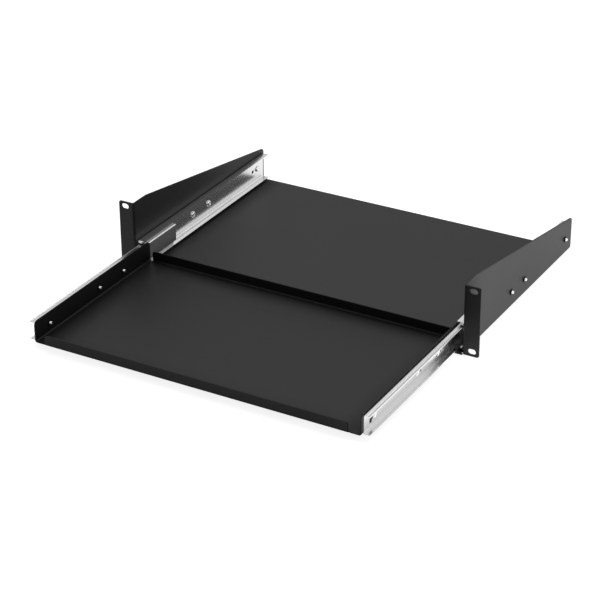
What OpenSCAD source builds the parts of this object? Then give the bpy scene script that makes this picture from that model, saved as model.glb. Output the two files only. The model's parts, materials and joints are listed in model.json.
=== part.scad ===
// Rack keyboard drawer, two rack units high, stored with its tray pulled out.
// X to the right, Y to the rear, Z up. Origin on the ears' back faces, at the
// centre of their four slots. All sizes in mm.

/* [Rack ears] */
// Width over the two ears
panel_w = 482.6; // [481:0.1:484]
// Height of the ears
panel_h = 88.1; // [87.5:0.1:88.9]
// Slot centre to slot centre across the rack
ear_hole_span = 465.1; // [464:0.1:466]
// Slot centre to slot centre up the ear
ear_hole_rise = 76.2; // [75:0.1:77]
// End to end length of an ear slot
ear_slot_l = 10; // [8:0.5:12]
// Height of an ear slot
ear_slot_h = 6.8; // [6.4:0.1:7.2]
// Corner radius at an ear's outer edge
ear_corner_r = 2.5; // [1:0.5:4]

/* [Chassis] */
// Width over the two side plates
chassis_w = 444; // [442:0.5:447]
// Ears' front faces to the plates' rear edges
chassis_d = 309; // [308:1:340]
// Sheet thickness of the chassis
chassis_t = 1.5; // [1.2:0.1:2]
// Inside radius of the chassis folds
chassis_bend_r = 1.2; // [1:0.1:1.8]
// Height of the side plates at the rear
plate_rear_h = 42.3; // [40:0.1:50]
// Level part of a plate's top edge, from the ears' front faces
plate_level_l = 29; // [20:1:40]
// Radius of a plate's upper rear corner
plate_corner_r = 5.5; // [2:0.5:7]
// Base's rear edge in front of the plates' rear edges
base_setback = 5; // [1:0.5:6]
// Base's front edge before the ears' front faces
base_reach = 2.3; // [1:0.1:3]
// Base's front corners in from the plates' outer faces
base_corner_in = 0.5; // [0.3:0.1:1]
// Width of the cut between an ear's fold and the base
fold_relief = 1.2; // [0.8:0.1:2]
// Outer diameter of the drawn collar round a tapped hole
collar_d = 6.2; // [5.6:0.1:7]
// Height of the chassis collars
chassis_collar_h = 1.2; // [0.8:0.1:1.5]

/* [Tray] */
// Depth over the two lips
tray_d = 240; // [236:1:240]
// Sheet thickness of the tray
tray_t = 1.2; // [1:0.1:1.5]
// Inside radius of the tray folds
tray_bend_r = 1.8; // [1:0.1:2]
// Height of the tray's side walls
tray_wall_h = 26.2; // [24:0.1:28]
// Height of the front and rear lips
tray_lip_h = 13.5; // [10:0.1:20]
// Tray's underside above the chassis's underside
tray_lift = 8; // [7:0.1:8.5]
// Length of the front lip
front_lip_w = 390; // [370:1:400]
// Length of the rear lip
rear_lip_w = 409.6; // [400:0.1:410]
// Side walls' front ends behind the front lip's face
wall_setback = 2.2; // [2:0.1:2.8]
// Radius of a wall's upper corners
wall_corner_r = 5.5; // [2:0.5:8]
// Radius of a lip's upper corners
lip_corner_r = 3; // [1:0.5:5]
// Gap between a lip's end and the floor corner beside it
lip_relief = 1.2; // [0.8:0.1:2]
// Height of the tray's collars
tray_collar_h = 0.8; // [0.5:0.1:1]

/* [Slides] */
// Length of a fixed rail
rail_l = 300; // [298:1:300]
// Height of a fixed rail over its flanges
rail_h = 34; // [33.5:0.1:35.5]
// Depth of a fixed rail from its back to its flange edges
rail_depth = 9.8; // [9.6:0.1:10]
// Sheet thickness of the rails
rail_t = 1.2; // [1:0.1:1.3]
// Outside radius of a fixed rail's folds
rail_fold_r = 2; // [1.8:0.1:2.5]
// Corner radius at the ends of a fixed rail's flanges
rail_corner_r = 1; // [0.5:0.1:2]
// Side space that one slide takes
slide_w = 10.2; // [10.2:0.1:10.6]
// Fixed rail's front end behind the ears' front faces
rail_setback = 5; // [4.8:0.1:6]
// Rails' centre height above the chassis's underside
rail_lift = 20.3; // [20:0.05:20.5]
// Length of a moving rail
moving_l = 295; // [290:1:298]
// Depth of a moving rail from its back to its flange edges
moving_depth = 8.2; // [7.9:0.1:8.3]
// Outside radius of a moving rail's folds
moving_fold_r = 1.6; // [1.4:0.1:1.8]
// Moving rail's front end behind the front lip's face
moving_setback = 5.5; // [5:0.1:6]
// Way the tray slides, from pulled out to closed
travel = 225; // [220:1:225]
// Diameter of a bearing ball
ball_d = 4.76; // [4.7:0.01:4.8]
// Distance between neighbouring balls
ball_pitch = 10; // [9.5:0.1:10.5]
// Depth of the race that the balls run in
race_depth = 0.25; // [0.15:0.05:0.3]
// Middle of the races from the side plate
race_in = 4.25; // [4.2:0.05:4.5]
// Running clearance between a ball and its races
ball_gap = 0.03; // [0.02:0.01:0.05]
// Length of a stop lug along the rail
stop_t = 1.2; // [1:0.1:1.5]
// Width of a stop lug
stop_w = 4; // [3:0.1:5]
// Reach of a stop lug past the middle of the balls
stop_past = 0.1; // [0:0.1:0.3]
// Clearance between a retainer and the stop lugs
stop_gap = 0.3; // [0.2:0.1:0.5]

/* [Ball retainers] */
// Thickness of a retainer strip
retainer_t = 1; // [0.8:0.1:1.2]
// Width of a retainer strip
retainer_w = 5.5; // [5.4:0.1:5.6]
// Corner radius of a retainer strip
retainer_corner_r = 1; // [0.5:0.5:2]
// Thickness of a retainer's upright lip
retainer_lip_t = 0.7; // [0.5:0.1:0.8]
// Clearance between that lip and the rails
retainer_lip_gap = 0.3; // [0.2:0.1:0.5]
// Outer diameter of the rim round a ball
rim_d = 5.3; // [5.2:0.05:5.4]
// Height of the rim round a ball
rim_h = 1.3; // [1.2:0.1:1.6]
// Clearance between a ball and its rim
rim_gap = 0.05; // [0.03:0.01:0.08]

/* [Fasteners] */
// Diameter of the screws
screw_d = 3.9; // [3.8:0.05:4]
// Clearance round a screw in its tapped hole
thread_gap = 0.05; // [0.03:0.01:0.1]
// Clearance round a screw in a rail
rail_hole_gap = 0.3; // [0.1:0.05:0.5]
// Length of the bevel at a screw's tip
tip_bevel = 0.5; // [0.3:0.1:0.8]
// Diameter of a pan head
pan_head_d = 8; // [7.5:0.1:8.5]
// Height of a pan head
pan_head_h = 2.2; // [2:0.1:2.6]
// Height of a pan head's upright edge
pan_edge_h = 0.8; // [0.5:0.1:1]
// Rail screws' reach beyond the side plates
rail_screw_out = 3; // [2:0.1:4]
// Diameter of the dimple round a countersunk head
dimple_d = 8; // [7.5:0.1:8.5]
// Depth of a countersunk head below the face round its dimple
head_sink = 0.6; // [0.4:0.1:0.7]
// Tray screws' reach beyond the wall's inner face
tray_screw_out = 3.2; // [2.5:0.1:3.5]
// Width across the cross recess
recess_d = 4.4; // [4:0.1:4.8]
// Width of one arm of the cross recess
recess_arm = 1; // [0.8:0.1:1.2]
// Depth of the cross recess in a pan head
recess_h = 1.3; // [1:0.1:1.5]
// Depth of the cross recess in a countersunk head
flat_recess_h = 0.9; // [0.6:0.1:1]
// Rail screws behind the ears' front faces
rail_screw_at = [24.5, 129.5, 167, 289.5]; // [20:0.5:300]
// Tray screws behind the front lip's face
tray_screw_at = [30, 130, 180.5]; // [29:0.5:200]
// Spare hole in a fixed rail, behind the ears' front faces
spare_hole_at = 278; // [270:0.1:280]
// Diameter of that spare hole
spare_hole_d = 4.8; // [4.6:0.1:5.2]
// Small holes in a moving rail, behind the front lip's face
small_hole_at = [137.8, 187.9]; // [137:0.1:200]
// Diameter of the small holes
small_hole_d = 3; // [2.5:0.1:3.5]
// Front edge of the slot in a moving rail, behind the front lip's face
slot_at = 17.8; // [17:0.1:18]
// Top of that slot above the rails' centre
slot_up = 0.9; // [0.5:0.1:1.5]
// Width of the slot's upright part
slot_w = 5.2; // [4.8:0.1:5.3]
// Height of the slot's upright part
slot_h = 6; // [5:0.1:7]
// Reach of the slot's notch behind the upright part
slot_notch_w = 2.3; // [2:0.1:2.4]
// Height of the slot's notch
slot_notch_h = 3.1; // [2.5:0.1:4]
// Corner radius of the slot
slot_corner_r = 0.6; // [0.4:0.1:0.8]

/* [Hidden] */
cut_pad = 1;
// flat left between a fold and the cut beside it
fold_land = 0.2;
left = -1;
right = 1;
up = 1;
down = -1;
balls_in_race = 6;
base_corner_gap = 0.3;
corner_steps = 8;
// heights
base_z = -panel_h / 2;
tray_z = base_z + tray_lift;
rail_z = base_z + rail_lift;
// distances from front to rear
front_y = -chassis_t;
plate_back_y = front_y + chassis_d;
rail_front_y = front_y + rail_setback;
tray_front_y = front_y - travel;
tray_back_y = tray_front_y + tray_d;
wall_front_y = tray_front_y + wall_setback;
moving_front_y = tray_front_y + moving_setback;
moving_back_y = moving_front_y + moving_l;
retainer_front_y = rail_front_y + stop_t + stop_gap;
retainer_back_y = moving_back_y - stop_t - stop_gap;
retainer_l = retainer_back_y - retainer_front_y;
retainer_lip_y = retainer_front_y + 2 * retainer_corner_r;
retainer_lip_l = retainer_l - 4 * retainer_corner_r;
first_ball_y = (retainer_front_y + retainer_back_y - ball_pitch * (balls_in_race - 1)) / 2;
// distances from the middle to one side
plate_in_x = chassis_w / 2 - chassis_t;
base_flat_x = chassis_w / 2 - chassis_bend_r - chassis_t;
tray_out_x = plate_in_x - slide_w;
// folds
chassis_fold_r = chassis_bend_r + chassis_t;
tray_fold_r = tray_bend_r + tray_t;
relief_low = chassis_fold_r + fold_land;
relief_back_y = front_y + chassis_fold_r + fold_relief;
// ball races
race_r = ball_d / 2 + ball_gap;
fixed_in_h = rail_h / 2 - rail_t;
ball_up = fixed_in_h + race_depth - race_r;
moving_out_h = ball_up - race_r + race_depth;
ball_x = plate_in_x - race_in;
retainer_in_x = ball_x - retainer_w / 2 - retainer_lip_t;
retainer_lip_h = 2 * (fixed_in_h - ball_up - retainer_lip_gap);
// holes
tapped_d = screw_d + 2 * thread_gap;
rail_hole_d = screw_d + 2 * rail_hole_gap;
flat_head_d = dimple_d - (dimple_d - tapped_d) * head_sink / rail_t - 2 * thread_gap;
flat_recess_d = recess_d * 0.8;
dome_h = pan_head_h - pan_edge_h;
dome_r = (pan_head_d * pan_head_d / 4 + dome_h * dome_h) / (2 * dome_h);

// Extrudes a shape drawn in X and Z along Y, from y0 over length.
module along_y(y0, length) {
    translate([0, y0 + length, 0])
        rotate([90, 0, 0])
            linear_extrude(length)
                children();
}

// Extrudes a shape drawn in Y and Z along X, from x0 over length.
module along_x(x0, length) {
    translate([x0, 0, 0])
        rotate([90, 0, 90])
            linear_extrude(length)
                children();
}

// Turns what is drawn along +Z so that it runs outward from one side, at y.
module sideways(side, x, y, z) {
    translate([side * x, y, z])
        rotate([0, side * 90, 0])
            children();
}

// Rectangle with all four corners rounded.
module rounded_rect(x0, z0, w, h, r) {
    union() {
        translate([x0 + r, z0])
            square([w - 2 * r, h]);
        translate([x0, z0 + r])
            square([w, h - 2 * r]);
        for (x = [x0 + r, x0 + w - r]) {
            for (z = [z0 + r, z0 + h - r]) {
                translate([x, z])
                    circle(r);
            }
        }
    }
}

// Folded sheet, seen end on: a floor and two walls, with its underside at 0.
module folded_u(w, h, t, bend_r) {
    fold_r = bend_r + t;
    difference() {
        union() {
            translate([-w / 2, fold_r])
                square([w, h - fold_r]);
            translate([fold_r - w / 2, 0])
                square([w - 2 * fold_r, h]);
            for (side = [left, right]) {
                translate([side * (w / 2 - fold_r), fold_r])
                    circle(fold_r);
            }
        }
        translate([t - w / 2, fold_r])
            square([w - 2 * t, h]);
        translate([fold_r - w / 2, t])
            square([w - 2 * fold_r, h]);
        for (side = [left, right]) {
            translate([side * (w / 2 - fold_r), fold_r])
                circle(bend_r);
        }
    }
}

// Quarter ring of one fold, round 0,0, on the lower side towards -x.
module fold_arc(t, bend_r) {
    fold_r = bend_r + t;
    intersection() {
        difference() {
            circle(fold_r);
            circle(bend_r);
        }
        translate([-fold_r - cut_pad, -fold_r - cut_pad])
            square([fold_r + cut_pad, fold_r + cut_pad]);
    }
}

// Outline of a side plate in Y and Z, with its upper rear corner rounded.
module plate_outline() {
    slope = atan((panel_h - plate_rear_h) / (chassis_d - plate_level_l));
    corner = [plate_back_y, base_z + plate_rear_h];
    centre = corner - plate_corner_r * [1, (1 - sin(slope)) / cos(slope)];
    round_points = [
        for (i = [0 : corner_steps])
            let (turn = (90 - slope) * i / corner_steps)
                centre + plate_corner_r * [cos(turn), sin(turn)]
    ];
    polygon(concat(
        [
            [front_y, base_z - cut_pad],
            [plate_back_y, base_z - cut_pad]
        ],
        round_points,
        [
            [front_y + plate_level_l, base_z + panel_h],
            [front_y, base_z + panel_h]
        ]
    ));
}

// Slot with round ends, lying along x, round 0,0.
module slot_shape(l, h) {
    translate([(h - l) / 2, -h / 2])
        square([l - h, h]);
    for (x = [(h - l) / 2, (l - h) / 2]) {
        translate([x, 0])
            circle(d = h);
    }
}

module ear_slots() {
    for (z = [-ear_hole_rise / 2, ear_hole_rise / 2]) {
        along_y(front_y - cut_pad, chassis_t + 2 * cut_pad)
            translate([ear_hole_span / 2, z])
                slot_shape(ear_slot_l, ear_slot_h);
    }
}

// Ear and its fold on the right.
module ear() {
    flat_x = plate_in_x + chassis_fold_r;
    difference() {
        union() {
            along_y(front_y, chassis_t)
                intersection() {
                    rounded_rect(
                        flat_x - 2 * ear_corner_r, base_z,
                        panel_w / 2 - flat_x + 2 * ear_corner_r, panel_h, ear_corner_r
                    );
                    translate([flat_x, base_z])
                        square([panel_w / 2 - flat_x, panel_h]);
                }
            translate([flat_x, front_y + chassis_fold_r, base_z])
                linear_extrude(panel_h)
                    fold_arc(chassis_t, chassis_bend_r);
        }
        ear_slots();
    }
}

// Base's front edge, with corners that pass in front of the ears' folds.
module base_edge() {
    edge_x = chassis_w / 2 - base_corner_in;
    translate([-base_flat_x, front_y - base_reach, base_z])
        cube([2 * base_flat_x, base_reach + chassis_fold_r, chassis_t]);
    translate([-edge_x, front_y - base_reach, base_z])
        cube([2 * edge_x, base_reach - base_corner_gap, chassis_t]);
}

module chassis() {
    color([0.05, 0.05, 0.055])
        difference() {
            union() {
                difference() {
                    intersection() {
                        along_y(front_y, chassis_d)
                            translate([0, base_z])
                                folded_u(chassis_w, panel_h, chassis_t, chassis_bend_r);
                        along_x(-chassis_w, 2 * chassis_w)
                            plate_outline();
                    }
                    translate([-chassis_w, front_y - cut_pad, base_z + relief_low])
                        cube([2 * chassis_w, chassis_fold_r + cut_pad, panel_h]);
                    for (x = [-chassis_w, base_flat_x]) {
                        translate([x, front_y - cut_pad, base_z - cut_pad])
                            cube([
                                chassis_w - base_flat_x,
                                relief_back_y - front_y + cut_pad,
                                relief_low + 2 * cut_pad
                            ]);
                    }
                    translate([-base_flat_x, plate_back_y - base_setback, base_z - cut_pad])
                        cube([2 * base_flat_x, base_setback + cut_pad, chassis_t + 2 * cut_pad]);
                }
                base_edge();
                ear();
                mirror([1, 0, 0])
                    ear();
                for (side = [left, right]) {
                    for (at = rail_screw_at) {
                        sideways(side, chassis_w / 2 - chassis_t / 2, front_y + at, rail_z)
                            cylinder(d = collar_d, h = chassis_collar_h + chassis_t / 2);
                    }
                }
            }
            for (side = [left, right]) {
                for (at = rail_screw_at) {
                    sideways(side, plate_in_x - cut_pad, front_y + at, rail_z)
                        cylinder(d = tapped_d, h = chassis_t + chassis_collar_h + 2 * cut_pad);
                }
            }
        }
}

// Lip folded up from the floor's edge, in Y and Z, with its face towards -y.
module lip_section() {
    union() {
        translate([tray_fold_r, tray_fold_r])
            fold_arc(tray_t, tray_bend_r);
        translate([0, tray_fold_r])
            square([tray_t, tray_lip_h - tray_fold_r]);
    }
}

// One lip, its face at 0 and its underside at 0.
module lip(w) {
    intersection() {
        along_x(-w / 2, w)
            lip_section();
        along_y(-cut_pad, tray_fold_r + 2 * cut_pad)
            rounded_rect(-w / 2, -2 * lip_corner_r, w, tray_lip_h + 2 * lip_corner_r, lip_corner_r);
    }
}

module tray() {
    wall_l = tray_back_y - wall_front_y;
    front_cut_w = front_lip_w + 2 * lip_relief;
    rear_cut_w = 2 * (tray_out_x - tray_fold_r);
    color([0.05, 0.05, 0.055])
        difference() {
            union() {
                difference() {
                    intersection() {
                        along_y(wall_front_y, wall_l)
                            translate([0, tray_z])
                                folded_u(2 * tray_out_x, tray_wall_h, tray_t, tray_bend_r);
                        along_x(-chassis_w, 2 * chassis_w)
                            rounded_rect(
                                wall_front_y, tray_z - 2 * wall_corner_r,
                                wall_l, tray_wall_h + 2 * wall_corner_r, wall_corner_r
                            );
                    }
                    translate([-front_cut_w / 2, wall_front_y - cut_pad, tray_z - cut_pad])
                        cube([
                            front_cut_w,
                            cut_pad + tray_front_y + tray_fold_r - wall_front_y,
                            tray_t + 2 * cut_pad
                        ]);
                    translate([-rear_cut_w / 2, tray_back_y - tray_fold_r, tray_z - cut_pad])
                        cube([rear_cut_w, tray_fold_r + cut_pad, tray_t + 2 * cut_pad]);
                }
                translate([0, tray_front_y, tray_z])
                    lip(front_lip_w);
                translate([0, tray_back_y, tray_z])
                    mirror([0, 1, 0])
                        lip(rear_lip_w);
                for (side = [left, right]) {
                    for (at = tray_screw_at) {
                        sideways(side, tray_out_x - tray_t - tray_collar_h, tray_front_y + at, rail_z)
                            cylinder(d = collar_d, h = tray_collar_h + tray_t / 2);
                    }
                }
            }
            for (side = [left, right]) {
                for (at = tray_screw_at) {
                    sideways(
                        side, tray_out_x - tray_t - tray_collar_h - cut_pad,
                        tray_front_y + at, rail_z
                    )
                        cylinder(d = tapped_d, h = tray_t + tray_collar_h + 2 * cut_pad);
                }
            }
        }
}

// Fixed rail on the right, seen end on: it opens towards the middle.
module fixed_section() {
    difference() {
        intersection() {
            rounded_rect(
                plate_in_x - rail_depth - 2 * rail_fold_r, -rail_h / 2,
                rail_depth + 2 * rail_fold_r, rail_h, rail_fold_r
            );
            translate([plate_in_x - rail_depth, -rail_h / 2])
                square([rail_depth, rail_h]);
        }
        rounded_rect(
            plate_in_x - 2 * rail_depth, -fixed_in_h,
            2 * rail_depth - rail_t, 2 * fixed_in_h, rail_fold_r - rail_t
        );
        for (z = [-ball_up, ball_up]) {
            translate([ball_x, z])
                circle(race_r);
        }
    }
}

// Moving rail on the right, seen end on: it opens away from the middle.
module moving_section() {
    moving_in_h = moving_out_h - rail_t;
    difference() {
        intersection() {
            rounded_rect(
                tray_out_x, -moving_out_h,
                moving_depth + 2 * moving_fold_r, 2 * moving_out_h, moving_fold_r
            );
            translate([tray_out_x, -moving_out_h])
                square([moving_depth, 2 * moving_out_h]);
        }
        rounded_rect(
            tray_out_x + rail_t, -moving_in_h,
            2 * moving_depth, 2 * moving_in_h, moving_fold_r - rail_t
        );
        for (z = [-ball_up, ball_up]) {
            translate([ball_x, z])
                circle(race_r);
        }
    }
}

// Box that stands on a flange from one height to another, above and below the rail's centre.
module stop_lug(y0, low, high) {
    for (z = [low, -high]) {
        translate([ball_x - stop_w / 2, y0, rail_z + z])
            cube([stop_w, stop_t, high - low]);
    }
}

module fixed_rail() {
    difference() {
        union() {
            intersection() {
                along_y(rail_front_y, rail_l)
                    translate([0, rail_z])
                        fixed_section();
                translate([0, 0, rail_z - rail_h])
                    linear_extrude(2 * rail_h)
                        rounded_rect(
                            plate_in_x - rail_depth, rail_front_y,
                            rail_depth + 2 * rail_corner_r, rail_l, rail_corner_r
                        );
            }
            stop_lug(rail_front_y, ball_up - stop_past, fixed_in_h + race_depth + rail_t / 4);
        }
        for (at = rail_screw_at) {
            sideways(right, plate_in_x - rail_t - cut_pad, front_y + at, rail_z)
                cylinder(d = rail_hole_d, h = rail_t + 2 * cut_pad);
        }
        sideways(right, plate_in_x - rail_t - cut_pad, front_y + spare_hole_at, rail_z)
            cylinder(d = spare_hole_d, h = rail_t + 2 * cut_pad);
    }
}

// Slot in Y and Z with a notch at its upper rear, its upper front corner at 0,0.
module notched_slot() {
    union() {
        rounded_rect(0, -slot_h, slot_w, slot_h, slot_corner_r);
        rounded_rect(
            slot_w / 2, -slot_notch_h,
            slot_w / 2 + slot_notch_w, slot_notch_h, slot_corner_r
        );
    }
}

module moving_rail() {
    difference() {
        union() {
            along_y(moving_front_y, moving_l)
                translate([0, rail_z])
                    moving_section();
            stop_lug(
                moving_back_y - stop_t,
                moving_out_h - race_depth - rail_t / 4,
                ball_up + stop_past
            );
        }
        for (at = tray_screw_at) {
            sideways(right, tray_out_x, tray_front_y + at, rail_z) {
                cylinder(d1 = tapped_d, d2 = dimple_d, h = rail_t);
                translate([0, 0, -cut_pad])
                    cylinder(d = tapped_d, h = rail_t + cut_pad);
                translate([0, 0, rail_t])
                    cylinder(d = dimple_d, h = cut_pad);
            }
        }
        for (at = small_hole_at) {
            sideways(right, tray_out_x - cut_pad, tray_front_y + at, rail_z)
                cylinder(d = small_hole_d, h = rail_t + 2 * cut_pad);
        }
        along_x(tray_out_x - cut_pad, rail_t + 2 * cut_pad)
            translate([tray_front_y + slot_at, rail_z + slot_up])
                notched_slot();
    }
}

// Strip that keeps six balls apart, above or below the moving rail on the right,
// with an upright lip that covers them.
module retainer(level) {
    level_z = rail_z + level * ball_up;
    difference() {
        union() {
            translate([0, 0, level_z - retainer_t / 2])
                linear_extrude(retainer_t)
                    rounded_rect(
                        retainer_in_x, retainer_front_y,
                        retainer_w + retainer_lip_t, retainer_l, retainer_corner_r
                    );
            translate([retainer_in_x, retainer_lip_y, level_z - retainer_lip_h / 2])
                cube([retainer_lip_t, retainer_lip_l, retainer_lip_h]);
            ball_places(level)
                translate([0, 0, -rim_h / 2])
                    cylinder(d = rim_d, h = rim_h);
        }
        ball_places(level)
            translate([0, 0, -rim_h])
                cylinder(d = ball_d + 2 * rim_gap, h = 2 * rim_h);
    }
}

module ball_places(level) {
    for (i = [0 : balls_in_race - 1]) {
        translate([ball_x, first_ball_y + i * ball_pitch, rail_z + level * ball_up])
            children();
    }
}

module balls(level) {
    ball_places(level)
        sphere(d = ball_d);
}

// Cross recess cut down from 0.
module cross_recess(d, h) {
    intersection() {
        union() {
            translate([-d, -recess_arm / 2, -h])
                cube([2 * d, recess_arm, h + cut_pad]);
            translate([-recess_arm / 2, -d, -h])
                cube([recess_arm, 2 * d, h + cut_pad]);
        }
        translate([0, 0, -h])
            cylinder(d1 = d / 2, d2 = d + d / 2 * cut_pad / h, h = h + cut_pad);
    }
}

// Screw body along +Z from 0, with a bevelled tip.
module shank(length) {
    cylinder(d = screw_d, h = length - tip_bevel);
    translate([0, 0, length - tip_bevel])
        cylinder(d1 = screw_d, d2 = screw_d - 2 * tip_bevel, h = tip_bevel);
}

// Domed head on the -Z side of 0.
module pan_head() {
    rotate([180, 0, 0])
        difference() {
            rotate_extrude()
                union() {
                    square([pan_head_d / 2, pan_edge_h]);
                    intersection() {
                        translate([0, pan_head_h - dome_r])
                            circle(dome_r);
                        square([pan_head_d / 2, pan_head_h]);
                    }
                }
            translate([0, 0, pan_head_h])
                cross_recess(recess_d, recess_h);
        }
}

module rail_screws(side) {
    color([0.75, 0.76, 0.78])
        for (at = rail_screw_at) {
            sideways(side, plate_in_x - rail_t, front_y + at, rail_z)
                union() {
                    pan_head();
                    shank(rail_t + chassis_t + rail_screw_out);
                }
        }
}

module tray_screws(side) {
    color([0.75, 0.76, 0.78])
        for (at = tray_screw_at) {
            sideways(side, tray_out_x + rail_t - head_sink, tray_front_y + at, rail_z)
                rotate([180, 0, 0])
                    difference() {
                        union() {
                            cylinder(d1 = flat_head_d, d2 = screw_d, h = rail_t - head_sink);
                            shank(rail_t - head_sink + tray_t + tray_screw_out);
                        }
                        rotate([180, 0, 0])
                            cross_recess(flat_recess_d, flat_recess_h);
                    }
        }
}

module on_side(side) {
    if (side == left) {
        mirror([1, 0, 0])
            children();
    } else {
        children();
    }
}

module left_fixed_rail() {
    color([0.72, 0.73, 0.75])
        on_side(left)
            fixed_rail();
}

module right_fixed_rail() {
    color([0.72, 0.73, 0.75])
        fixed_rail();
}

module left_moving_rail() {
    color([0.78, 0.79, 0.8])
        on_side(left)
            moving_rail();
}

module right_moving_rail() {
    color([0.78, 0.79, 0.8])
        moving_rail();
}

module retainer_on(side, level) {
    color([0.5, 0.5, 0.52])
        on_side(side)
            retainer(level);
}

module balls_on(side, level) {
    color([0.85, 0.85, 0.87])
        on_side(side)
            balls(level);
}

chassis();
tray();
left_fixed_rail();
right_fixed_rail();
left_moving_rail();
right_moving_rail();
retainer_on(left, up);  // left_upper_retainer
retainer_on(left, down);  // left_lower_retainer
retainer_on(right, up);  // right_upper_retainer
retainer_on(right, down);  // right_lower_retainer
balls_on(left, up);  // left_upper_balls
balls_on(left, down);  // left_lower_balls
balls_on(right, up);  // right_upper_balls
balls_on(right, down);  // right_lower_balls
rail_screws(left);  // left_rail_screws
rail_screws(right);  // right_rail_screws
tray_screws(left);  // left_tray_screws
tray_screws(right);  // right_tray_screws
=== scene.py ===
import json
import math

import bmesh
import bpy
from mathutils import Matrix, Vector


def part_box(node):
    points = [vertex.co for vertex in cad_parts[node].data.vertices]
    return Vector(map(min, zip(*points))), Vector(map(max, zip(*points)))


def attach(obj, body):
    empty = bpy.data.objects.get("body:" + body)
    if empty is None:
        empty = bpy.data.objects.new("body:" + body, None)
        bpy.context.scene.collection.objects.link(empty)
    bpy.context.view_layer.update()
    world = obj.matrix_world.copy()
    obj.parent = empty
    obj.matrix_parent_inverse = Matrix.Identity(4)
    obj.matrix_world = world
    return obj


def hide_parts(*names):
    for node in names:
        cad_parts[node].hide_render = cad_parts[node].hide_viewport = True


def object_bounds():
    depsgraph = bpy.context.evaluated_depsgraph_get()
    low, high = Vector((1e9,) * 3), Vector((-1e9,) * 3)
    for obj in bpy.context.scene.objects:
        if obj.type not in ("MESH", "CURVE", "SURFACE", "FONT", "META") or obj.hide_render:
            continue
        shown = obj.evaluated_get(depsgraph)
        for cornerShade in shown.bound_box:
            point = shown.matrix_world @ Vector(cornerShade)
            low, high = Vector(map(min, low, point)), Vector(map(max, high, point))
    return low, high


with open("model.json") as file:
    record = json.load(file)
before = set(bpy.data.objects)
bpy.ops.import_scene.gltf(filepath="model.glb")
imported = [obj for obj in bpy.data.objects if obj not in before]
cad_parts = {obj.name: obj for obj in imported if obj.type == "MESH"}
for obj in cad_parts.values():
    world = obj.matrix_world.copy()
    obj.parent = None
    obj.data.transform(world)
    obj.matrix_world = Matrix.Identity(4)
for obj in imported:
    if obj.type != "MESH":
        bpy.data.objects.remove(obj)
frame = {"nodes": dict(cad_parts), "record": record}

mm = 0.001
nodes = frame["nodes"]
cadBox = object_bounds()
print("frame loaded:", len(nodes), "nodes")


# camera, fitted to the photograph, with lengths in millimetres and angles in degrees

cameraSettings = {
    "target": (-9.85, -1.5, -9.7),
    "azimuth": 30.171,
    "elevation": 27.293,
    "roll": -0.603,
    "distance": 2413.35,
    "lens": 123.462,
    "sensor": 36.0,
    "shift": (0.025, -0.0301),
    "clip": (50.0, 50000.0),
}


def placeCamera(settings):
    azimuth, elevation, roll = (math.radians(settings[k]) for k in ("azimuth", "elevation", "roll"))
    back = Vector((
        math.sin(azimuth) * math.cos(elevation),
        -math.cos(azimuth) * math.cos(elevation),
        math.sin(elevation),
    ))
    level = Vector((math.cos(azimuth), math.sin(azimuth), 0))
    upright = back.cross(level)
    across = math.cos(roll) * level + math.sin(roll) * upright
    top = math.cos(roll) * upright - math.sin(roll) * level
    data = bpy.data.cameras.new("photoCamera")
    data.sensor_width = settings["sensor"]
    data.lens = settings["lens"]
    data.shift_x, data.shift_y = settings["shift"]
    data.clip_start, data.clip_end = (end * mm for end in settings["clip"])
    camera = bpy.data.objects.new("photoCamera", data)
    place = Vector(settings["target"]) * mm + back * settings["distance"] * mm
    turn = Matrix((across, top, back)).transposed().to_4x4()
    camera.matrix_world = Matrix.Translation(place) @ turn
    bpy.context.scene.collection.objects.link(camera)
    bpy.context.scene.camera = camera


placeCamera(cameraSettings)
print("camera placed")


# one wire of a node tree: an output socket that can be added, multiplied and so on

class Wire:
    def __init__(self, bench, socket):
        self.bench = bench
        self.socket = socket

    def combine(self, operation, first, second, clamp=False):
        settings = {"operation": operation, "use_clamp": clamp}
        return self.bench.add("ShaderNodeMath", settings, {0: first, 1: second})

    def __add__(self, other):
        return self.combine("ADD", self, other)

    def __radd__(self, other):
        return self.combine("ADD", other, self)

    def __sub__(self, other):
        return self.combine("SUBTRACT", self, other)

    def __rsub__(self, other):
        return self.combine("SUBTRACT", other, self)

    def __mul__(self, other):
        return self.combine("MULTIPLY", self, other)

    def __rmul__(self, other):
        return self.combine("MULTIPLY", other, self)

    def __truediv__(self, other):
        return self.combine("DIVIDE", self, other)

    def above(self, other):
        return self.combine("MAXIMUM", self, other)

    def clamped(self):
        return self.combine("ADD", self, 0.0, clamp=True)

    def sideless(self):
        return self.combine("ABSOLUTE", self, 0.0)

    # how far a noise is from its middle value
    def swing(self):
        return self - 0.5


# a node tree being built, for a material, the world or a geometry modifier

class Bench:
    def __init__(self, tree):
        self.tree = tree

    def add(self, kind, settings=None, sockets=None, output=0):
        node = self.tree.nodes.new(kind)
        for key, value in (settings or {}).items():
            setattr(node, key, value)
        for key, value in (sockets or {}).items():
            if isinstance(value, Wire):
                self.tree.links.new(value.socket, node.inputs[key])
            else:
                node.inputs[key].default_value = value
        return Wire(self, node.outputs[output]) if len(node.outputs) else None

    def mixColour(self, factor, first, second):
        return self.add("ShaderNodeMix", {"data_type": "RGBA"}, {0: factor, 6: first, 7: second}, 2)

    def noise(self, where, scale, detail, roughness=0.5):
        return self.add(
            "ShaderNodeTexNoise", {},
            {"Vector": where, "Scale": scale, "Detail": detail, "Roughness": roughness},
        )

    def bump(self, settings, height):
        return self.add(
            "ShaderNodeBump", {},
            {"Strength": settings["bumpStrength"], "Distance": settings["bumpDepth"], "Height": height},
        )

    def oneAxis(self, vector, axis):
        return self.add("ShaderNodeSeparateXYZ", {}, {"Vector": vector}, axis)


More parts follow.
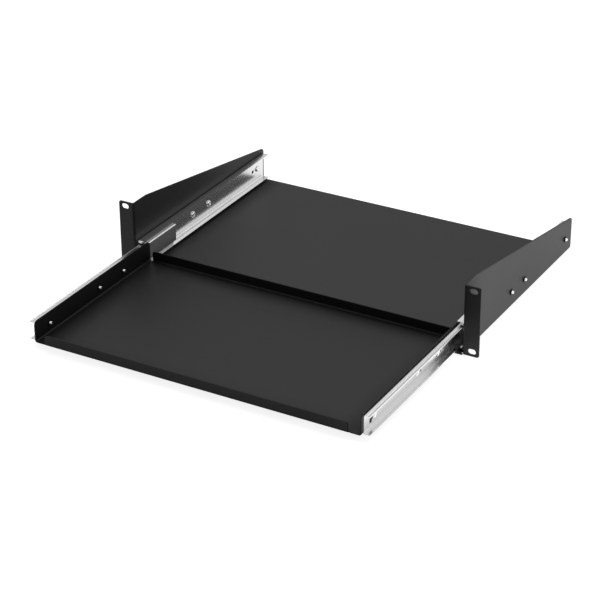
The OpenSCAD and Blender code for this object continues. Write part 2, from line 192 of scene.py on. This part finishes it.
# a colour with its alpha, darkened or lightened by a factor
def rgb(colour, factor=1.0):
    return (*(level * factor for level in colour), 1.0)


def newMaterial(name):
    material = bpy.data.materials.new(name)
    material.use_nodes = True
    material.node_tree.nodes.clear()
    bench = Bench(material.node_tree)
    where = bench.add("ShaderNodeTexCoord", {}, {}, "Object")
    return material, bench, where


def finishMaterial(bench, sockets):
    shader = bench.add("ShaderNodeBsdfPrincipled", {}, sockets)
    bench.add("ShaderNodeOutputMaterial", {}, {"Surface": shader})


# how near an edge a point lies, 0 on a flat, from the normal that a rounded edge would have
def edgeMask(bench, radius, gain):
    rounded = bench.add("ShaderNodeBevel", {"samples": 6}, {"Radius": radius})
    flat = bench.add("ShaderNodeNewGeometry", {}, {}, "Normal")
    product = {"operation": "DOT_PRODUCT"}
    cosine = bench.add("ShaderNodeVectorMath", product, {0: rounded, 1: flat}, "Value")
    return ((1.0 - cosine) * gain).clamped()


# how deep in a corner of its own piece a point lies, 0 in the open, for painting shade into its corners
def cornerShadeMask(bench, reach, gain):
    settings = {"samples": 16, "only_local": True}
    freely = bench.add("ShaderNodeAmbientOcclusion", settings, {"Distance": reach}, "AO")
    return ((1.0 - freely) * gain).clamped()


# materials

# what both coats share: noise scales in waves a metre, and shares of the paint's own colour for its
# tone and for its painted shade
coatBasics = {
    "roughness": 0.46,
    "grainScale": 1500.0,
    "speckleScale": 4050.0,
    "cloudScale": 9.0,
    "lightShare": 1.35,
    "paintedShadeShare": 0.6,
    "cloudTint": 0.7,
    "speckleTint": 0.5,
    "tintDrop": 0.25,
    "cloudRough": 0.08,
    "grainRough": 0.12,
    "edgeRough": 0.2,
    "bumpStrength": 0.25,
    "bumpDepth": 0.00006,
    "speckleBump": 0.4,
    "edgeGain": 3.0,
    "edgeShadeCover": 0.85,
    "cornerShadeCover": 0.9,
    "mattRoughness": 0.8,
    "mattGloss": 0.06,
}
coatSettings = {
    "chassisPaint": {
        "colour": (0.0053, 0.0056, 0.0056), "gloss": 0.32,
        "edgeRadius": 0.0005, "cornerShadeReach": 0.04, "cornerShadeGain": 2.4,
    },
    "trayPaint": {
        "colour": (0.0041, 0.0044, 0.0045), "gloss": 0.26,
        "edgeRadius": 0.0009, "cornerShadeReach": 0.035, "cornerShadeGain": 1.5,
    },
}


# satin powder coat with a fine grain, painted darker along its edges and in its corners as painted
# shade
def powderCoat(name):
    settings = {**coatBasics, **coatSettings[name]}
    material, bench, where = newMaterial(name)
    grain = bench.noise(where, settings["grainScale"], detail=3.0, roughness=0.6)
    speckle = bench.noise(where, settings["speckleScale"], detail=1.0)
    cloud = bench.noise(where, settings["cloudScale"], detail=3.0)
    edge = edgeMask(bench, settings["edgeRadius"], settings["edgeGain"])
    # painted shade in the corners, from how enclosed each point is
    cornerShade = cornerShadeMask(bench, settings["cornerShadeReach"], settings["cornerShadeGain"])
    base = rgb(settings["colour"])
    light = rgb(settings["colour"], settings["lightShare"])
    paintedShade = rgb(settings["colour"], settings["paintedShadeShare"])
    tint = cloud * settings["cloudTint"] + speckle * settings["speckleTint"] - settings["tintDrop"]
    colour = bench.mixColour(tint.clamped(), base, light)
    # painted shade: the edges are painted darker
    colour = bench.mixColour(edge, colour, paintedShade)
    rough = (
        settings["roughness"]
        + cloud.swing() * settings["cloudRough"]
        + grain.swing() * settings["grainRough"]
        + edge * settings["edgeRough"]
    )
    bump = bench.bump(settings, grain + speckle * settings["speckleBump"])
    coat = bench.add("ShaderNodeBsdfPrincipled", {}, {
        "Base Color": colour, "Roughness": rough, "Normal": bump,
        "Metallic": 0.0, "IOR": 1.5, "Specular IOR Level": settings["gloss"],
    })
    # painted shade: along its edges and down in its corners the coat is painted matt and dark, where
    # shade falls
    matt = bench.add("ShaderNodeBsdfPrincipled", {}, {
        "Base Color": paintedShade, "Roughness": settings["mattRoughness"],
        "Metallic": 0.0, "Specular IOR Level": settings["mattGloss"],
    })
    cover = (settings["edgeShadeCover"] * edge).above(settings["cornerShadeCover"] * cornerShade)
    whole = bench.add("ShaderNodeMixShader", {}, {0: cover, 1: coat, 2: matt})
    bench.add("ShaderNodeOutputMaterial", {}, {"Surface": whole})
    return material


# what the rolled steels share; "along" is their noise scale on each axis, in waves a metre
steelBasics = {
    "cloudScale": 38.0,
    "speckScale": 2600.0,
    "dullShare": 0.9,
    "burrAndShadeShare": 0.6,
    "burrAndShadeCover": 0.8,
    "streakTint": 0.5,
    "tintStart": 0.1,
    "streakRough": 0.02,
    "cloudRough": 0.2,
    "speckRough": 0.01,
    "leastRoughness": 0.05,
    "bumpStrength": 0.05,
    "bumpDepth": 0.00004,
    "speckBump": 0.05,
    "edgeRadius": 0.0003,
    "edgeGain": 3.0,
}
steelSettings = {
    "railZinc": {
        "colour": (0.89, 0.895, 0.895), "roughness": 0.24, "mottle": 0.15, "along": (500.0, 4.0, 500.0),
        "raceAt": 0.21625, "raceHalf": 0.0014, "greaseAndShadeColour": (0.5, 0.495, 0.48), "greaseAndShadeCover": 0.45,
    },
    "screwZinc": {
        "colour": (0.9, 0.905, 0.91), "roughness": 0.22, "mottle": 0.5, "along": (500.0, 500.0, 500.0),
    },
    "retainerSteel": {
        "colour": (0.55, 0.55, 0.56), "roughness": 0.35, "mottle": 0.5, "along": (600.0, 40.0, 600.0),
    },
}


# zinc plate or plain steel, with any rolling marks along Y, and edges painted darker, partly a burr and
# partly painted shade
def rolledSteel(name):
    settings = {**steelBasics, **steelSettings[name]}
    material, bench, where = newMaterial(name)
    drawn = bench.add("ShaderNodeMapping", {}, {"Vector": where, "Scale": settings["along"]})
    streak = bench.noise(drawn, 1.0, detail=4.0, roughness=0.65)
    cloud = bench.noise(where, settings["cloudScale"], detail=4.0, roughness=0.6)
    speck = bench.noise(where, settings["speckScale"], detail=1.0)
    edge = edgeMask(bench, settings["edgeRadius"], settings["edgeGain"])
    base = rgb(settings["colour"])
    dull = rgb(settings["colour"], settings["dullShare"])
    burrAndShade = rgb(settings["colour"], settings["burrAndShadeShare"])
    tint = streak * settings["streakTint"] + cloud * settings["mottle"] + settings["tintStart"]
    colour = bench.mixColour(tint.clamped(), dull, base)
    # edges painted darker, partly a burr and partly painted shade that tones down their highlight
    colour = bench.mixColour(settings["burrAndShadeCover"] * edge, colour, burrAndShade)
    if "raceAt" in settings:
        # the balls' tracks are painted darker, partly grease and partly painted shade that dims their
        # highlight lines
        across = bench.oneAxis(where, "X").sideless()
        race = (1.0 - (across - settings["raceAt"]).sideless() / settings["raceHalf"]).clamped()
        colour = bench.mixColour(settings["greaseAndShadeCover"] * race, colour, rgb(settings["greaseAndShadeColour"]))
    rough = (
        settings["roughness"]
        + streak.swing() * settings["streakRough"]
        + cloud.swing() * settings["mottle"] * settings["cloudRough"]
        + speck.swing() * settings["speckRough"]
    )
    finishMaterial(bench, {
        "Base Color": colour,
        "Roughness": rough.above(settings["leastRoughness"]),
        "Normal": bench.bump(settings, streak + speck * settings["speckBump"]),
        "Metallic": 1.0,
    })
    return material


ballSettings = {
    "colour": (0.86, 0.865, 0.875),
    "roughness": 0.07,
    "leastRoughness": 0.03,
    "smearScale": 420.0,
    "smearStart": 0.55,
    "smearGain": 5.0,
    "greaseAndShadeColour": (0.62, 0.6, 0.55),
    "greaseAndShadeCover": 0.5,
    "greaseRough": 0.12,
    "scratchScale": 5200.0,
    "scratchRough": 0.04,
    "bumpStrength": 0.05,
    "bumpDepth": 0.00002,
}


# polished bearing steel, with a film of grease here and there
def ballSteel(name, settings):
    material, bench, where = newMaterial(name)
    smear = bench.noise(where, settings["smearScale"], detail=3.0, roughness=0.6)
    scratch = bench.noise(where, settings["scratchScale"], detail=1.0)
    film = ((smear - settings["smearStart"]) * settings["smearGain"]).clamped()
    cover = settings["greaseAndShadeCover"] * film
    rough = (
        settings["roughness"]
        + film * settings["greaseRough"]
        + scratch.swing() * settings["scratchRough"]
    )
    finishMaterial(bench, {
        "Base Color": bench.mixColour(cover, rgb(settings["colour"]), rgb(settings["greaseAndShadeColour"])),
        "Roughness": rough.above(settings["leastRoughness"]),
        "Normal": bench.bump(settings, scratch),
        "Metallic": 1.0,
    })
    return material


materials = {
    "chassis_paint": powderCoat("chassisPaint"),
    "tray_paint": powderCoat("trayPaint"),
    "rail_zinc": rolledSteel("railZinc"),
    "retainer_steel": rolledSteel("retainerSteel"),
    "screw_zinc": rolledSteel("screwZinc"),
    "ball_steel": ballSteel("ballSteel", ballSettings),
}

for part in frame["record"]["subparts"]:
    cadNode = nodes[part["node"]]
    cadNode.data.materials.clear()
    cadNode.data.materials.append(materials[part["material_slot"]])
print("materials made:", len(materials))


# pieces made by geometry trees

def newTree(name, inputs):
    tree = bpy.data.node_groups.new(name, "GeometryNodeTree")
    tree.interface.new_socket("Geometry", in_out="INPUT", socket_type="NodeSocketGeometry")
    for label, kind in inputs:
        tree.interface.new_socket(label, in_out="INPUT", socket_type="NodeSocket" + kind)
    tree.interface.new_socket("Geometry", in_out="OUTPUT", socket_type="NodeSocketGeometry")
    bench = Bench(tree)
    entry = tree.nodes.new("NodeGroupInput")
    wires = {socket.name: Wire(bench, socket) for socket in entry.outputs if socket.name}
    return tree, bench, wires


def closeTree(bench, geometry, material):
    real = bench.add("GeometryNodeRealizeInstances", {}, {"Geometry": geometry})
    painted = bench.add("GeometryNodeSetMaterial", {}, {"Geometry": real, "Material": material})
    bench.add("NodeGroupOutput", {}, {"Geometry": painted})


def link(name, mesh):
    thing = bpy.data.objects.new(name, mesh)
    bpy.context.scene.collection.objects.link(thing)
    return thing


# runs a tree on a host mesh and keeps the result as a plain mesh
def grow(name, host, tree, values):
    carrier = link(name + "Host", host)
    modifier = carrier.modifiers.new("tree", "NODES")
    modifier.node_group = tree
    sockets = {s.name: s.identifier for s in tree.interface.items_tree if s.in_out == "INPUT"}
    for label, value in values.items():
        modifier[sockets[label]] = value
    graph = bpy.context.evaluated_depsgraph_get()
    mesh = bpy.data.meshes.new_from_object(carrier.evaluated_get(graph), depsgraph=graph)
    bpy.data.objects.remove(carrier)
    return link(name, mesh)


ballRowSettings = {"count": 6, "subdivisions": 5}


def ballTree():
    tree, bench, wires = newTree("ballRow", [
        ("First", "Vector"), ("Pitch", "Float"), ("Count", "Int"),
        ("Radius", "Float"), ("Material", "Material"),
    ])
    step = bench.add("ShaderNodeCombineXYZ", {}, {"Y": wires["Pitch"]})
    row = bench.add(
        "GeometryNodeMeshLine", {},
        {"Count": wires["Count"], "Start Location": wires["First"], "Offset": step},
    )
    ball = bench.add(
        "GeometryNodeMeshIcoSphere", {},
        {"Radius": wires["Radius"], "Subdivisions": ballRowSettings["subdivisions"]},
    )
    smooth = bench.add("GeometryNodeSetShadeSmooth", {}, {"Geometry": ball})
    placed = bench.add("GeometryNodeInstanceOnPoints", {}, {"Points": row, "Instance": smooth})
    closeTree(bench, placed, wires["Material"])
    return tree


def screwTree():
    tree, bench, wires = newTree("screwRow", [
        ("Screw", "Object"), ("Lean", "Vector"), ("Seed", "Int"), ("Material", "Material"),
    ])
    screw = bench.add("GeometryNodeObjectInfo", {}, {"Object": wires["Screw"]}, "Geometry")
    spin = bench.add(
        "FunctionNodeRandomValue", {"data_type": "FLOAT"},
        {"Min": 0.0, "Max": math.pi, "Seed": wires["Seed"]}, 1,
    )
    turn = bench.add("ShaderNodeCombineXYZ", {}, {"Z": spin})
    placed = bench.add(
        "GeometryNodeInstanceOnPoints", {},
        {"Points": wires["Geometry"], "Instance": screw, "Rotation": wires["Lean"]},
    )
    spun = bench.add("GeometryNodeRotateInstances", {}, {"Instances": placed, "Rotation": turn})
    closeTree(bench, spun, wires["Material"])
    return tree


# a mesh of the points only, for a tree to place things on
def pointMesh(name, points):
    mesh = bpy.data.meshes.new(name)
    mesh.from_pydata(points, [], [])
    return mesh


ballRow = ballTree()
for side in ("left", "right"):
    for level in ("upper", "lower"):
        node = f"{side}_{level}_balls"
        low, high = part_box(node)
        radius = (high.x - low.x) / 2
        first = low + Vector((radius, radius, radius))
        piece = grow(f"{side}{level.capitalize()}BallSet", pointMesh(node, [first]), ballRow, {
            "First": first,
            "Pitch": (high.y - low.y - 2 * radius) / (ballRowSettings["count"] - 1),
            "Count": ballRowSettings["count"],
            "Radius": radius,
            "Material": materials["ball_steel"],
        })
        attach(piece, f"{side}_cage")
        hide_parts(node)
print("balls made")


# screws, in millimetres until they are finished

panScrewSettings = {
    "headRadius": 4.0, "headHeight": 2.2, "headEdge": 0.8,
    "threadRadius": 1.95, "threadDepth": 0.36, "threadPitch": 0.7,
    "length": 5.7, "tipBevel": 0.5,
    "recessReach": 2.2, "recessArm": 0.5, "recessDepth": 1.4,
}
flatScrewSettings = {
    "headRadius": 2.95, "headHeight": 0.0, "cone": 0.6,
    "threadRadius": 1.95, "threadDepth": 0.36, "threadPitch": 0.7,
    "length": 5.0, "tipBevel": 0.4,
    "recessReach": 1.6, "recessArm": 0.4, "recessDepth": 0.8,
}
# what both kinds of screw share
screwBasics = {
    "headSides": 48,
    "domeSteps": 8,
    "domePower": 0.9,
    "shankSides": 28,
    "rowsPerTurn": 8,
    "threadRunIn": 0.4,
    "recessClear": 0.6,
    "recessTopShare": 1.2,
    "recessFloorShare": 0.45,
    "recessTaper": 0.4,
    "roundingWidth": 0.06,
    "roundingSegments": 2,
    "roundingAngle": 40.0,
    "sharpAngle": 32.0,
}


# a closed surface turned round Z from (radius, height) pairs, the first and last of them on the axis
def turned(name, outline):
    sides = screwBasics["headSides"]
    mesh = bpy.data.meshes.new(name)
    shape = bmesh.new()
    rings = []
    for radius, height in outline:
        if radius <= 0:
            rings.append([shape.verts.new((0, 0, height))])
        else:
            rings.append([
                shape.verts.new((
                    radius * math.cos(2 * math.pi * i / sides),
                    radius * math.sin(2 * math.pi * i / sides),
                    height,
                ))
                for i in range(sides)
            ])
    for lower, upper in zip(rings, rings[1:]):
        for i in range(sides):
            j = (i + 1) % sides
            # a ring on the axis has one corner only, which makes its faces triangles
            corners = [
                lower[i % len(lower)], lower[j % len(lower)],
                upper[j % len(upper)], upper[i % len(upper)],
            ]
            shape.faces.new(list(dict.fromkeys(corners)))
    bmesh.ops.recalc_face_normals(shape, faces=shape.faces)
    shape.to_mesh(mesh)
    shape.free()
    return mesh


# a threaded shank from -start down to -length, its radius wound into a helix
def threadedShank(settings, start):
    sides = screwBasics["shankSides"]
    length = settings["length"] - start
    rows = int(length / settings["threadPitch"] * screwBasics["rowsPerTurn"])
    mesh = bpy.data.meshes.new("shank")
    shape = bmesh.new()
    rings = []
    for row in range(rows + 1):
        down = length * row / rows
        bevel = max(0.0, settings["tipBevel"] - (length - down))
        grown = min(1.0, down / screwBasics["threadRunIn"])
        ring = []
        for i in range(sides):
            phase = (down / settings["threadPitch"] - i / sides) % 1.0
            dip = abs(phase - 0.5) * 2 * settings["threadDepth"]
            radius = settings["threadRadius"] - max(dip * grown, bevel)
            angle = 2 * math.pi * i / sides
            spot = (radius * math.cos(angle), radius * math.sin(angle), -start - down)
            ring.append(shape.verts.new(spot))
        rings.append(ring)
    for upper, lower in zip(rings, rings[1:]):
        for i in range(sides):
            j = (i + 1) % sides
            shape.faces.new((upper[i], upper[j], lower[j], lower[i]))
    shape.faces.new(rings[0])
    shape.faces.new(rings[-1])
    bmesh.ops.recalc_face_normals(shape, faces=shape.faces)
    shape.to_mesh(mesh)
    shape.free()
    return mesh


# two crossed blades that cut the cross recess, tapering from the head's top down
def recessCutter(settings, top):
    mesh = bpy.data.meshes.new("recess")
    shape = bmesh.new()
    taper = screwBasics["recessTaper"]
    levels = (
        (top + screwBasics["recessClear"], screwBasics["recessTopShare"]),
        (top - settings["recessDepth"], screwBasics["recessFloorShare"]),
    )
    for turn in (0, 90):
        corners = []
        for height, share in levels:
            reach = settings["recessReach"] * share
            arm = settings["recessArm"] * (1 - taper + taper * share)
            for x, y in ((-1, -1), (1, -1), (1, 1), (-1, 1)):
                spot = Vector((x * reach, y * arm, height))
                corners.append(shape.verts.new(Matrix.Rotation(math.radians(turn), 3, "Z") @ spot))
        shape.faces.new(corners[:4])
        shape.faces.new(corners[4:])
        for i in range(4):
            j = (i + 1) % 4
            shape.faces.new((corners[i], corners[j], corners[4 + j], corners[4 + i]))
    bmesh.ops.recalc_face_normals(shape, faces=shape.faces)
    shape.to_mesh(mesh)
    shape.free()
    return mesh


# the head's half section as (radius, height) pairs, from the middle of its top round to its underside
def headOutline(settings):
    wide, shank = settings["headRadius"], settings["threadRadius"]
    if "cone" in settings:
        cone = settings["cone"]
        rimWidth, rimDepth, plugInset, plugDepth = 0.12, 0.1, 0.3, 0.1
        return [
            (0, 0), (wide * 0.5, 0), (wide - rimWidth, 0), (wide, -rimDepth),
            (shank, -cone), (shank - plugInset, -cone - plugDepth), (0, -cone - plugDepth),
        ]
    top, edge, steps = settings["headHeight"], settings["headEdge"], screwBasics["domeSteps"]
    dome = []
    for i in range(steps):
        angle = math.pi / 2 * i / steps
        rise = (top - edge) * math.cos(angle) ** screwBasics["domePower"]
        dome.append((wide * math.sin(angle), edge + rise))
    draft, bevel = 0.05, 0.1
    return dome + [
        (wide, edge), (wide - draft, bevel), (wide - draft - bevel, 0.0), (shank, 0.0), (0, 0),
    ]


# one finished screw, in metres, its head upwards from 0 and its shank downwards
def makeScrew(name, settings):
    head = link(name + "Head", turned(name + "Head", headOutline(settings)))
    cutter = link(name + "Cutter", recessCutter(settings, settings["headHeight"]))
    cut = head.modifiers.new("recess", "BOOLEAN")
    cut.operation = "DIFFERENCE"
    cut.object = cutter
    cut.solver = "EXACT"
    cut.use_self = True
    rounding = head.modifiers.new("rounding", "BEVEL")
    rounding.width = screwBasics["roundingWidth"]
    rounding.segments = screwBasics["roundingSegments"]
    rounding.angle_limit = math.radians(screwBasics["roundingAngle"])
    graph = bpy.context.evaluated_depsgraph_get()
    shape = bmesh.new()
    shape.from_mesh(bpy.data.meshes.new_from_object(head.evaluated_get(graph), depsgraph=graph))
    shape.from_mesh(threadedShank(settings, settings.get("cone", 0.0)))
    shape.transform(Matrix.Scale(mm, 4))
    for face in shape.faces:
        face.smooth = True
    mesh = bpy.data.meshes.new(name)
    shape.to_mesh(mesh)
    shape.free()
    mesh.set_sharp_from_angle(angle=math.radians(screwBasics["sharpAngle"]))
    bpy.data.objects.remove(head)
    bpy.data.objects.remove(cutter)
    return link(name, mesh)


# where the screws stand, as distances in millimetres behind the first one
screwRows = {
    "rail_screws": {
        "steps": (0.0, 105.0, 142.5, 265.0), "screw": panScrewSettings, "body": "base", "seed": 3,
    },
    "tray_screws": {
        "steps": (0.0, 100.0, 150.5), "screw": flatScrewSettings, "body": "drawer", "seed": 11,
    },
}
screwRow = screwTree()
for kind, row in screwRows.items():
    pattern = makeScrew(kind.replace("_screws", "ScrewPattern"), row["screw"])
    radius = row["screw"]["headRadius"] * mm
    length = row["screw"]["length"] * mm
    for side, outward in (("left", -1), ("right", 1)):
        node = f"{side}_{kind}"
        low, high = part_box(node)
        # a rail screw points outward from the rail's web, a tray screw inward from it
        if kind == "rail_screws":
            seat = high.x - length if outward > 0 else low.x + length
            lean = (0, -outward * math.pi / 2, 0)
        else:
            seat = high.x if outward > 0 else low.x
            lean = (0, outward * math.pi / 2, 0)
        middle = (low.z + high.z) / 2
        points = [(seat, low.y + radius + step * mm, middle) for step in row["steps"]]
        piece = grow(f"{side}{kind[:4].capitalize()}ScrewSet", pointMesh(node, points), screwRow, {
            "Screw": pattern,
            "Lean": lean,
            "Seed": row["seed"] + outward,
            "Material": materials["screw_zinc"],
        })
        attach(piece, row["body"])
        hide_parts(node)
    bpy.data.objects.remove(pattern)
print("screws made")


# floor, world and lamps

white = rgb((1, 1, 1))

# lengths in metres; seenLift is the floor's glow to the camera, the other lifts its glow in reflections
floorSettings = {
    "size": 8.0,
    "colour": (0.35, 0.35, 0.35),
    "seenLift": 0.85,
    "shadeHalf": 0.219,
    "shadeFront": -0.228,
    "shadeRear": -0.05,
    "shadeReach": 0.021,
    "shadeLift": 0.1,
    "openLift": 0.36,
    "rightStart": 0.15,
    "rearStart": 0.27,
    "rearShare": 0.4,
    "farReach": 0.07,
    "farLift": 0.54,
}


# which rays come from the camera itself, and which by way of a mirroring or clear surface
def rayKinds(bench):
    rays = bench.tree.nodes.new("ShaderNodeLightPath")
    seen, glossy, through = (
        Wire(bench, rays.outputs[label])
        for label in ("Is Camera Ray", "Is Glossy Ray", "Is Transmission Ray")
    )
    return seen, glossy + through


def makeFloor(settings):
    material, bench, where = newMaterial("floorPaint")
    seen, mirrored = rayKinds(bench)
    # painted shadow and painted light in reflections: mirrored in the metal, the floor is dark under
    # the tray and lightest on the right and behind
    across = bench.oneAxis(where, "X")
    along = bench.oneAxis(where, "Y")
    beside = across.sideless() - settings["shadeHalf"]
    away = beside.above(settings["shadeFront"] - along).above(along - settings["shadeRear"])
    clear = (away / settings["shadeReach"]).clamped()
    right = ((across - settings["rightStart"]) / settings["farReach"]).clamped()
    rear = ((along - settings["rearStart"]) / settings["farReach"]).clamped()
    far = right.above(rear * settings["rearShare"])
    lift = settings["shadeLift"] + clear * (far * settings["farLift"] + settings["openLift"])
    strength = seen * settings["seenLift"] + mirrored * lift
    matt = bench.add("ShaderNodeBsdfDiffuse", {}, {"Color": rgb(settings["colour"])})
    glow = bench.add("ShaderNodeEmission", {}, {"Color": white, "Strength": strength})
    both = bench.add("ShaderNodeAddShader", {}, {0: matt, 1: glow})
    bench.add("ShaderNodeOutputMaterial", {}, {"Surface": both})
    half = settings["size"] / 2
    height = cadBox[0][2]
    mesh = bpy.data.meshes.new("floor")
    mesh.from_pydata(
        [(-half, -half, height), (half, -half, height), (half, half, height), (-half, half, height)],
        [], [(0, 1, 2, 3)],
    )
    mesh.materials.append(material)
    floor = link("floor", mesh)


# two bright bands in the sky: their heights and widths are on the direction's Z, 0 at the horizon
# and 1 overhead, and the side band starts at a value of its X
worldSettings = {
    "grey": 0.47,
    "bandHeight": 0.5,
    "bandWidth": 0.2,
    "bandGain": 0.5,
    "sideHeight": 0.3,
    "sideWidth": 0.35,
    "sideStart": 0.3,
    "sideGain": 5.0,
}


# white to the camera and grey to the object, with the two bands seen only in its reflections
def makeWorld(settings):
    world = bpy.data.worlds.new("studio")
    world.use_nodes = True
    world.node_tree.nodes.clear()
    bench = Bench(world.node_tree)
    seen, mirrored = rayKinds(bench)
    direction = bench.add("ShaderNodeTexCoord", {}, {}, "Generated")
    height = bench.oneAxis(direction, "Z")
    fromBand = (height - settings["bandHeight"]) / settings["bandWidth"]
    fromSide = (height - settings["sideHeight"]) / settings["sideWidth"]
    right = ((bench.oneAxis(direction, "X") - settings["sideStart"]) * settings["sideGain"]).clamped()
    band = (1.0 - fromBand * fromBand).clamped() * settings["bandGain"]
    side = (1.0 - fromSide * fromSide).clamped() * right
    grey = settings["grey"]
    strength = (seen + mirrored * (band + side).clamped() * (1.0 - grey) + grey).clamped()
    sky = bench.add("ShaderNodeBackground", {}, {"Color": white, "Strength": strength})
    bench.add("ShaderNodeOutputWorld", {}, {"Surface": sky})
    bpy.context.scene.world = world


# places and sizes in metres
lampSettings = {
    "overhead": {"place": (-0.3, 0.6, 2.2), "aim": (0, 0, 0), "size": (2.4, 2.0), "watts": 34},
    "rightSide": {"place": (2.2, 0.4, 1.0), "aim": (0, 0, 0), "size": (1.4, 1.4), "watts": 8.5},
}


def makeLamp(name, settings):
    data = bpy.data.lights.new(name, "AREA")
    data.shape = "RECTANGLE"
    data.size, data.size_y = settings["size"]
    data.energy = settings["watts"]
    lamp = bpy.data.objects.new(name, data)
    place = Vector(settings["place"])
    away = place - Vector(settings["aim"])
    lamp.matrix_world = Matrix.Translation(place) @ away.to_track_quat("Z", "Y").to_matrix().to_4x4()
    bpy.context.scene.collection.objects.link(lamp)


makeFloor(floorSettings)
makeWorld(worldSettings)
for name, settings in lampSettings.items():
    makeLamp(name, settings)
bpy.context.scene.view_settings.view_transform = "Standard"
print("stage set")

bpy.context.view_layer.update()
